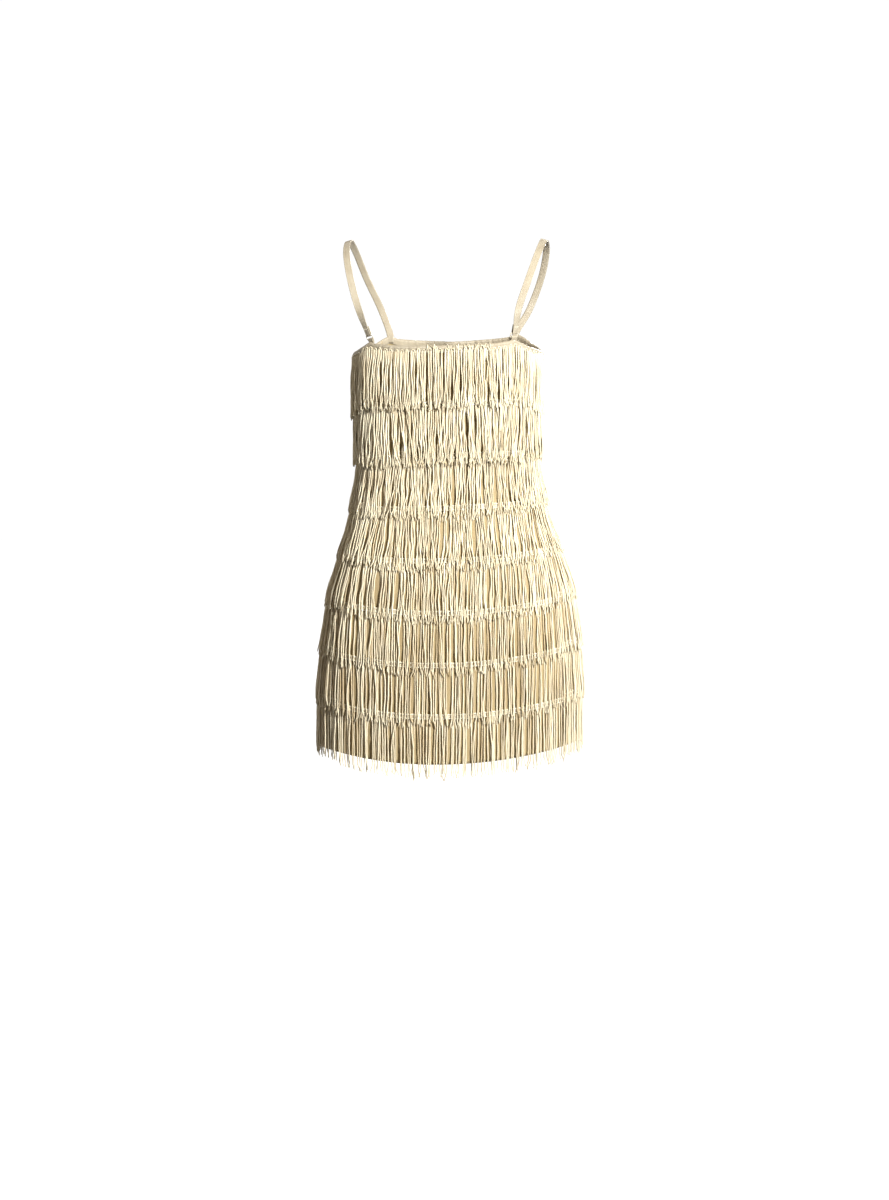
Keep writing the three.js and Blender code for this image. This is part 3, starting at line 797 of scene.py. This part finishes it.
def makeFringe(label, panel, tier):
    rng = np.random.default_rng(fringeRows["seed"] + 100 * tier + 10 * list(bodyPanels).index(label))
    row, upper = layRow(panel, tier, rng)
    rings, down, radius = makeStrands(tier, row, rng)
    batch = newBatch()
    addSweep(batch, rings, along=down, tone=row["tone"], finish=0)
    if tier > 1:
        addHeader(batch, panel, tier, rng)
    else:  # the binding hides the first header
        angle, start, rest, tone = (row[key][upper] for key in ("angle", "start", "rest", "tone"))
        addArches(batch, angle, start, rest, radius[upper, 0], tone)
    looks = [finishes["strand"], finishes["header"], finishes["stitch"]]
    node = "fringe_" + panel["node"] + "_" + str(tier)
    return makePiece("fringe" + label + str(tier), batch, looks, [node])


fringes = {label: [] for label in bodyPanels}
for label, panel in bodyPanels.items():
    for tier in range(1, fringeRows["count"] + 1):
        fringes[label].append(makeFringe(label, panel, tier))
    print("fringe made:", label)


# Binding of the top edge
bindingStrip = {
    "height": 9.5, "wall": 1.0, "gap": 0.25, "step": 1.3, "crest": -0.55, "puckerDrop": 0.35, "seed": 7,
    # where the elastic gathers the strip: angle, width, depth
    "gathers": (
        (11, 17, 1.3), (-30, 12, 0.35), (40, 9, 0.35), (180, 24, 1.0), (120, 16, 0.4), (-118, 16, 0.4),
    ),
    "evenGather": 0.14,
    "pleats": ((88, 7, 0.5), (141, 9, 0.35), (53, 5, 0.3)),  # how many go round, how they drift, share
    "pleatDrift": 1.5,
    "stitch": 2.7, "stitchInset": 1.4, "stitchDrop": 7.6, "stitchOut": 0.5, "facingDrop": 170,
    # along a stitch: reach, radius, how deep it sinks
    "stitchForm": ((-0.95, 0.15, 0.45), (-0.6, 0.36, 0), (0.6, 0.36, 0), (0.95, 0.15, 0.45)),
    # loose cords sewn over the strip where it is gathered
    "overcast": {
        "from": -5, "to": 27, "count": 17, "scatter": 0.7, "slant": 2.6, "stand": 0.2, "foot": (0.45, 1.0),
        "radius": 0.62, "thickness": (0.7, 1.2), "sides": 6,
    },
}


def gatherDepth(angle, rng):
    depth = np.full(len(angle), bindingStrip["evenGather"])
    for at, wide, deep in bindingStrip["gathers"]:
        depth = depth + deep * np.exp(-((angleFrom(angle, at) / wide) ** 2))
    turn = np.radians(angle)
    pleats = np.zeros_like(angle)
    for count, drift, share in bindingStrip["pleats"]:
        wave = count * turn + rng.uniform(0, 6)
        wave = wave + bindingStrip["pleatDrift"] * np.sin(drift * turn + rng.uniform(0, 6))
        pleats = pleats + share * np.sin(wave)
    return depth * pleats


def addEdgeStitches(batch, whole, far):
    # a row of stitches near the lower edge
    look = bindingStrip
    angle, _ = spacedAngles(whole, 1, look["stitch"], look["stitchInset"])
    at = clothPoint(angle, edgeDrop(angle) + look["stitchDrop"], far + look["stitchOut"])
    side = unit(np.gradient(at, axis=0))
    out = unit(clothPoint(angle, look["facingDrop"], 1) - clothPoint(angle, look["facingDrop"], 0))
    reach, size, sink = np.array(look["stitchForm"]).T
    middle = at[:, None] + side[:, None] * reach[:, None] - out[:, None] * sink[:, None]
    up, out = (np.broadcast_to(way[:, None], middle.shape) for way in (np.cross(side, out), out))
    addSweep(batch, roundSection(middle, up, out, size, size, 4), finish=1)


def addOvercast(batch, rng, far, back):
    # cords that climb the strip on a slant, turn over its top and end inside
    cast = bindingStrip["overcast"]
    count = cast["count"]
    angle = np.linspace(cast["from"], cast["to"], count) + rng.normal(0, cast["scatter"], count)
    lean = rng.normal(0, cast["slant"], count)
    climb = np.array([  # down, out
        (9.0, far + 0.4), (6.5, far + 1.3), (4.0, far + 1.6), (1.2, far + 1.4),
        (-1.4, far + 0.6), (-2.6, -0.5), (-1.2, back - 0.5), (2.5, back - 0.7),
    ])
    part = np.linspace(0, 1, len(climb))
    turn = angle[:, None] + lean[:, None] * part
    low = rng.uniform(*cast["foot"], (count, 1))
    drop = edgeDrop(turn) + np.where(climb[:, 0] > 0, climb[:, 0] * low, climb[:, 0])
    path = clothPoint(turn, drop, climb[:, 1] + rng.normal(0, cast["stand"], (count, 1)))
    sideways = unit(clothPoint(turn + 0.2, drop, climb[:, 1]) - clothPoint(turn, drop, climb[:, 1]))
    across, outer = cordAxes(path, sideways)
    radius = np.full(path.shape[:2], cast["radius"]) * rng.uniform(*cast["thickness"], (count, 1))
    cords = roundSection(path, across, outer, radius, radius, cast["sides"])
    addSweep(batch, cords, tone=rng.uniform(0, 0.7, count), finish=2)


def closeRing(piece):
    # joins the last section of a ring to its first
    weld = piece.modifiers.new("close", "WELD")
    weld.merge_threshold = 0.00001
    return piece


def makeBinding():
    rng = np.random.default_rng(bindingStrip["seed"])
    whole = {"from": -180, "to": 180, "raise": 0}
    angle, _ = spacedAngles(whole, 1, bindingStrip["step"], 0.0)
    edge = edgeDrop(angle)
    pleat = gatherDepth(angle, rng)
    tall, gap, wall, crest = (bindingStrip[key] for key in ("height", "gap", "wall", "crest"))
    far = gap + wall
    inner = -bodyCloth["wall"] - gap
    back = inner - wall
    # round the strip: down, out, and how much of the gathers shows there
    profile = (
        (tall, gap, 0.1), (tall + 0.3, far - 0.3, 0.25), (tall - 1.0, far, 0.5),
        (tall * 0.62, far + 0.3, 1.0), (tall * 0.46, far - 0.45, 0.8), (tall * 0.3, far + 0.45, 1.1),
        (tall * 0.1, far + 0.35, 0.9),
        (-1.0, far - 0.35, 0.7), (-1.7, crest, 0.6), (-1.0, back + 0.3, 0.7), (tall * 0.3, back, 0.9),
        (tall * 0.8, back, 0.6), (tall, back + 0.1, 0.2), (tall, inner, 0.1), (tall * 0.4, inner, 0.1),
        (0.1, crest, 0.0), (tall * 0.4, gap, 0.1),
    )
    loop = []
    for down, out, share in profile:
        drop = edge + down + pleat * bindingStrip["puckerDrop"] * share
        loop.append(clothPoint(angle, drop, out + np.sign(out - crest) * pleat * share))
    batch = newBatch()
    addSweep(batch, np.stack(loop, 1)[None], caps=False, finish=0)
    addEdgeStitches(batch, whole, far)
    addOvercast(batch, rng, far, back)
    looks = [finishes["satin"], finishes["stitch"], finishes["strand"]]
    return closeRing(makePiece("topBinding", batch, looks, ["binding"]))


binding = makeBinding()
print("binding made")


# Straps, rings and tabs
strapRun = {
    "width": 10.5, "loopWidth": 8.8, "wall": 1.15, "stations": 150, "tail": 13, "tailSteps": 8,
    "tailEnd": 0.15, "backAngle": 46, "frontAngle": 140, "turn": -8.7, "slope": 0.3, "taper": 0.08,
    "settle": 0.15, "loopStart": 3,
    # across, along, drop of the route over the shoulder, from ring to front
    "route": (
        (120, -84, 104), (133, -77, 62), (145, -48, 19), (149, -4, -0.5), (147, 38, 15), (136, 68, 54),
        (115, 84, 104),
    ),
    "sewnIn": ((-3, -2.6), (8, -3.4)),  # below the front edge, and out from the cloth
    # round the band, in shares of half its width and of its wall: a soft crown, rolled edges, grooves inside
    "profile": (
        (-1, 0.0), (-0.96, 0.42), (-0.84, 0.5), (-0.72, 0.36), (-0.4, 0.52), (0, 0.56), (0.4, 0.52),
        (0.72, 0.36), (0.84, 0.5), (0.96, 0.42), (1, 0.0), (0.96, -0.42), (0.6, -0.46), (0, -0.48),
        (-0.6, -0.46), (-0.96, -0.42),
    ),
    # the bar of stitches that holds the turned-back end
    "stitches": 8, "stitchSpan": 3.4, "stitchBelow": 3, "stitchOut": 0.55, "stitchSlant": 0.35,
    "stitchForm": ((-0.9, 0.12), (-0.4, 0.3), (0.4, 0.3), (0.9, 0.12)),  # reach, radius
}
strapRing = {
    "rise": 9, "out": -0.6, "halfWidth": 6.1, "halfHeight": 3.4, "corner": 1.6, "cornerSteps": 9, "wire": 0.8,
    "gap": 0.3, "bandHalf": 0.5, "sides": 14, "turnSteps": 13,
}
turnRadius = strapRing["wire"] + strapRing["gap"] + strapRing["bandHalf"]
tabLoop = {"wall": 1.0, "steps": 7, "footExtra": 0.6, "clear": 0.4, "closed": 0.45, "opening": 1.6}


def shoulderPoint(side, across, along, drop):
    turn = math.radians(strapRun["turn"])
    cosine, sine = math.cos(turn), math.sin(turn)
    x = side * across
    return np.array([x * cosine - along * sine, x * sine + along * cosine, -drop])


def ringAxes(side):
    angle = side * strapRun["backAngle"]
    edge = edgeDrop(angle)
    middle = clothPoint(angle, edge - strapRing["rise"], strapRing["out"])
    up = unit(shoulderPoint(side, *strapRun["route"][0]) - middle)
    out = (clothPoint(angle, edge, 1) - clothPoint(angle, edge, 0)) * np.array([1, 1, 0])
    out = unit(out - up * np.dot(out, up))
    return middle, np.cross(up, out), out, up


def pullAt(before, here, after, gapBefore, gapAfter):
    # the slope at a point of a curve through three points
    both = gapBefore + gapAfter
    return (here - before) / gapBefore - (after - before) / both + (after - here) / gapAfter


def smoothRoute(points, count):
    # a centripetal curve through the points, at even steps
    points = np.array(points)
    points = np.vstack([2 * points[0] - points[1], points, 2 * points[-1] - points[-2]])
    fine = []
    for i in range(1, len(points) - 2):
        p = points[i - 1 : i + 3]
        gaps = np.sqrt(np.linalg.norm(np.diff(p, axis=0), axis=1))
        startPull = pullAt(p[0], p[1], p[2], gaps[0], gaps[1]) * gaps[1]
        endPull = pullAt(p[1], p[2], p[3], gaps[1], gaps[2]) * gaps[1]
        t = np.linspace(0, 1, 60, endpoint=i == len(points) - 3)[:, None]
        ends = (2 * t**3 - 3 * t**2 + 1) * p[1] + (3 * t**2 - 2 * t**3) * p[2]
        fine.append(ends + (t**3 - 2 * t**2 + t) * startPull + (t**3 - t**2) * endPull)
    fine = np.concatenate(fine)
    run = np.r_[0, np.cumsum(np.linalg.norm(np.diff(fine, axis=0), axis=1))]
    even = np.linspace(0, run[-1], count)
    return np.stack([np.interp(even, run, fine[:, k]) for k in range(3)], 1)


def flatRun(points, bar, way, width):
    # a straight stretch of band: its points, and the same bar, facing and width at each
    count = len(points)
    return points, np.repeat(bar[None], count, 0), np.repeat(way[None], count, 0), np.full(count, width)


def turnRound(axes, height, towards, width):
    # half way round a bar of the ring, from the inside to the outside
    middle, bar, out, up = axes
    steps = strapRing["turnSteps"]
    turn = np.linspace(math.pi, 0, steps)[:, None]
    normals = np.cos(turn) * out + towards * np.sin(turn) * up
    points = middle + up * height + normals * turnRadius
    return points, np.repeat(bar[None], steps, 0), normals, np.full(steps, width)


def addRibbon(batch, stretches, wall):
    points, bars, normals, widths = (np.concatenate(parts) for parts in zip(*stretches))
    profile = np.array(strapRun["profile"])
    across = profile[:, 0][:, None] * (widths / 2)[:, None, None] * bars[:, None]
    through = profile[:, 1][:, None] * wall * normals[:, None]
    addSweep(batch, (points[:, None] + across + through)[None], finish=0)


def shoulderRun(side, axes):
    # the free strap, from the ring over the shoulder and in behind the front edge
    look = strapRun
    middle, bar, out, up = axes
    start = middle + up * (strapRing["halfHeight"] + look["loopStart"]) + out * turnRadius
    frontAngle = side * look["frontAngle"]
    inside = [clothPoint(frontAngle, edgeDrop(frontAngle) + down, depth) for down, depth in look["sewnIn"]]
    route = [shoulderPoint(side, *row) for row in look["route"]]
    points = smoothRoute([start, *route, *inside], look["stations"])
    travel = unit(np.gradient(points, axis=0))
    share = np.linspace(0, 1, look["stations"])[:, None]
    top = np.maximum(travel[:, 1:2], 0) ** 2
    bars = np.hstack([np.ones_like(top), np.zeros_like(top), -side * look["slope"] * top])
    settled = smoothStep(share, 0, look["settle"])
    bars = bars * settled + bar * (1 - settled)
    bars = unit(bars - travel * (bars * travel).sum(1, keepdims=True))
    widened = smoothStep(share[:, 0], 0, look["taper"])
    widths = look["loopWidth"] + (look["width"] - look["loopWidth"]) * widened
    return points, bars, np.cross(bars, travel), widths


def addBarStitches(batch, axes):
    look = strapRun
    middle, bar, out, up = axes
    height = strapRing["halfHeight"] + look["tail"] - look["stitchBelow"]
    at = middle + up * height + out * (turnRadius + look["stitchOut"])
    stitches = at + bar * np.linspace(-look["stitchSpan"], look["stitchSpan"], look["stitches"])[:, None]
    reach, size = np.array(look["stitchForm"]).T
    slant = unit(up + bar * look["stitchSlant"])
    middles = stitches[:, None] + slant * reach[:, None]
    side, out = (np.broadcast_to(way, middles.shape) for way in (np.cross(slant, out), out))
    addSweep(batch, roundSection(middles, side, out, size, size, 6), finish=1)


def makeStrap(label, side):
    look = strapRun
    axes = ringAxes(side)
    middle, bar, out, up = axes
    tailShare = np.linspace(1, look["tailEnd"], look["tailSteps"])[:, None]
    tail = middle + up * (strapRing["halfHeight"] + look["tail"] * tailShare) - out * turnRadius
    end = flatRun(tail, bar, -out, look["loopWidth"])
    loop = turnRound(axes, strapRing["halfHeight"], -1, look["loopWidth"])
    batch = newBatch()
    addRibbon(batch, [end, loop, shoulderRun(side, axes)], look["wall"])
    addBarStitches(batch, axes)
    looks = [finishes["satin"], finishes["stitch"]]
    return makePiece("strap" + label, batch, looks, ["strap_" + label.lower()])


def makeTab(label, side):
    axes = ringAxes(side)
    middle, bar, out, up = axes
    width = strapRun["loopWidth"]
    foot = strapRing["rise"] + tabLoop["footExtra"]
    fall = np.linspace(foot, strapRing["halfHeight"] + tabLoop["clear"], tabLoop["steps"])[:, None]
    opened = (1 - tabLoop["closed"]) * (foot - fall) / foot * tabLoop["opening"]
    stand = out * turnRadius * (tabLoop["closed"] + opened).clip(0, 1)
    inner = flatRun(middle - up * fall - stand, bar, -out, width)
    outer = flatRun((middle - up * fall + stand)[::-1], bar, out, width)
    batch = newBatch()
    addRibbon(batch, [inner, turnRound(axes, -strapRing["halfHeight"], 1, width), outer], tabLoop["wall"])
    return makePiece("tab" + label, batch, [finishes["satin"]], ["tab_" + label.lower()])


def makeRing(label, side):
    middle, bar, out, up = ringAxes(side)
    wide, tall, corner = (strapRing[k] for k in ("halfWidth", "halfHeight", "corner"))
    centres, radials = [], []
    for signX, signY, start in ((1, 1, 0), (-1, 1, 90), (-1, -1, 180), (1, -1, 270)):
        turn = np.radians(start + np.linspace(0, 90, strapRing["cornerSteps"]))[:, None]
        radial = np.cos(turn) * bar + np.sin(turn) * up
        pivot = middle + bar * signX * (wide - corner) + up * signY * (tall - corner)
        centres.append(pivot + radial * corner)
        radials.append(radial)
    centres, radials = np.concatenate(centres), np.concatenate(radials)
    wire = np.full(len(centres), strapRing["wire"])
    out = np.broadcast_to(out, radials.shape)
    rings = roundSection(centres, radials, out, wire, wire, strapRing["sides"])
    batch = newBatch()
    addSweep(batch, np.concatenate([rings, rings[:1]])[None], caps=False)
    piece = makePiece("ring" + label, batch, [finishes["enamel"]], ["ring_" + label.lower()])
    return closeRing(piece)


sides = {"Left": -1, "Right": 1}
straps = {label: makeStrap(label, side) for label, side in sides.items()}
tabs = {label: makeTab(label, side) for label, side in sides.items()}
rings = {label: makeRing(label, side) for label, side in sides.items()}
print("straps, rings and tabs made")

# Studio, in metres
studio = {
    "floor": -1.452, "floorRings": (0.001, 1, 3, 7, 14), "floorSides": 96, "wash": 4.0, "washAngle": 0.5,
    "target": (-0.0035, 0, -0.545), "distance": 4.0, "elevation": 5.5, "lens": 78.43,
    "horizon": 1.03, "sky": 0.12, "ground": 0.1, "skyFade": (0.14, 0.22), "groundFade": (-0.2, -0.1),
    "skyTint": (1.0, 0.88, 0.7, 1), "horizonTint": (1, 1, 1, 1),
}
floorLook = {
    "pale": (0.86, 0.86, 0.855, 1), "deep": (0.9, 0.9, 0.895, 1),
    "roughness": 0.8, "sheen": 0.0, "sheenRoughness": 0.5, "specular": 0.2, "cloudScale": 3.0,
}
# place, size of each side, power, tint
softboxes = {
    "keySoftbox": ((1.46, -2.36, 0.65), 0.35, 214, (1.0, 0.99, 0.96)),
    "fillSoftbox": ((-2.2, -3.2, 0.4), 2.0, 10, (1.0, 0.82, 0.6)),
    "topSoftbox": ((0.0, -0.2, 2.2), 2.5, 22, (1.0, 0.88, 0.7)),
    "frontSoftbox": ((1.3, 2.6, 0.7), 0.6, 190, (1.0, 0.99, 0.96)),
    "sideSoftbox": ((-3.0, 1.4, 0.6), 1.5, 42, (1.0, 0.9, 0.76)),
}


def makeFloor():
    turn = np.linspace(0, 2 * math.pi, studio["floorSides"] + 1)
    level = np.full(len(turn), studio["floor"])
    disc = [np.stack([np.cos(turn) * r, np.sin(turn) * r, level], -1) for r in studio["floorRings"]]
    batch = newBatch()
    addSweep(batch, np.stack(disc)[None] / mm, closed=False)
    mesh = bpy.data.meshes.new("paleFloor")
    points, quads = np.concatenate(batch["points"]) * mm, np.concatenate(batch["quads"])
    mesh.from_pydata(points.tolist(), [], quads.tolist())
    finish, tree, shader = newFinish("paleFloorPaint", floorLook)
    setColour(tree, shader, noiseOn(tree, floorLook["cloudScale"]), floorLook)
    mesh.materials.append(finish)
    floor = bpy.data.objects.new("floor", mesh)
    bpy.context.scene.collection.objects.link(floor)
    floor.visible_diffuse = False  # keeps the pale floor from lighting the cloth from below
    return floor


def makeLight(name, place, size, power, tint):
    lamp = bpy.data.lights.new(name, "AREA")
    lamp.shape, lamp.energy, lamp.color = "RECTANGLE", power, tint
    lamp.size, lamp.size_y = size, size
    light = bpy.data.objects.new(name, lamp)
    light.location = place
    light.rotation_euler = (Vector(studio["target"]) - Vector(place)).to_track_quat("-Z", "Y").to_euler()
    light.visible_camera = False
    bpy.context.scene.collection.objects.link(light)


def washFloor(floor):
    # an even light on the floor alone, so that it stays pale to the horizon
    lamp = bpy.data.lights.new("floorWash", "SUN")
    lamp.energy, lamp.angle = studio["wash"], studio["washAngle"]
    light = bpy.data.objects.new("floorWash", lamp)
    bpy.context.scene.collection.objects.link(light)
    onlyFloor = bpy.data.collections.new("onlyFloor")
    onlyFloor.objects.link(floor)
    light.light_linking.receiver_collection = onlyFloor


def makeSky():
    world = bpy.data.worlds.new("softStudio")
    world.use_nodes = True
    tree = world.node_tree
    place = addNode(tree, "ShaderNodeTexCoord").outputs["Generated"]
    height = addNode(tree, "ShaderNodeSeparateXYZ", {0: place}).outputs[2]
    above = spread(tree, height, *studio["skyFade"], studio["horizon"], studio["sky"])
    below = spread(tree, height, *studio["groundFade"], studio["ground"], studio["horizon"])
    level = math2(tree, "MINIMUM", above, below)
    tree.links.new(level, tree.nodes["Background"].inputs["Strength"])
    tint = mixColour(tree, spread(tree, level, 0.3, 0.9), studio["skyTint"], studio["horizonTint"])
    tree.links.new(tint, tree.nodes["Background"].inputs["Color"])
    world.cycles_visibility.diffuse = False  # a white surround that leaves the light to the softboxes
    bpy.context.scene.world = world


def makeCamera():
    camera = bpy.data.objects.new("camera", bpy.data.cameras.new("camera"))
    camera.data.lens = studio["lens"]
    rise = math.radians(studio["elevation"])
    target = Vector(studio["target"])
    camera.location = target + Vector((0, -math.cos(rise), math.sin(rise))) * studio["distance"]
    camera.rotation_euler = (target - camera.location).to_track_quat("-Z", "Y").to_euler()
    camera.data.clip_end = 100
    bpy.context.scene.collection.objects.link(camera)
    bpy.context.scene.camera = camera


floor = makeFloor()
makeSky()
for name, settings in softboxes.items():
    makeLight(name, *settings)
washFloor(floor)
makeCamera()
bpy.context.scene.view_settings.view_transform = "Standard"
print("studio made")
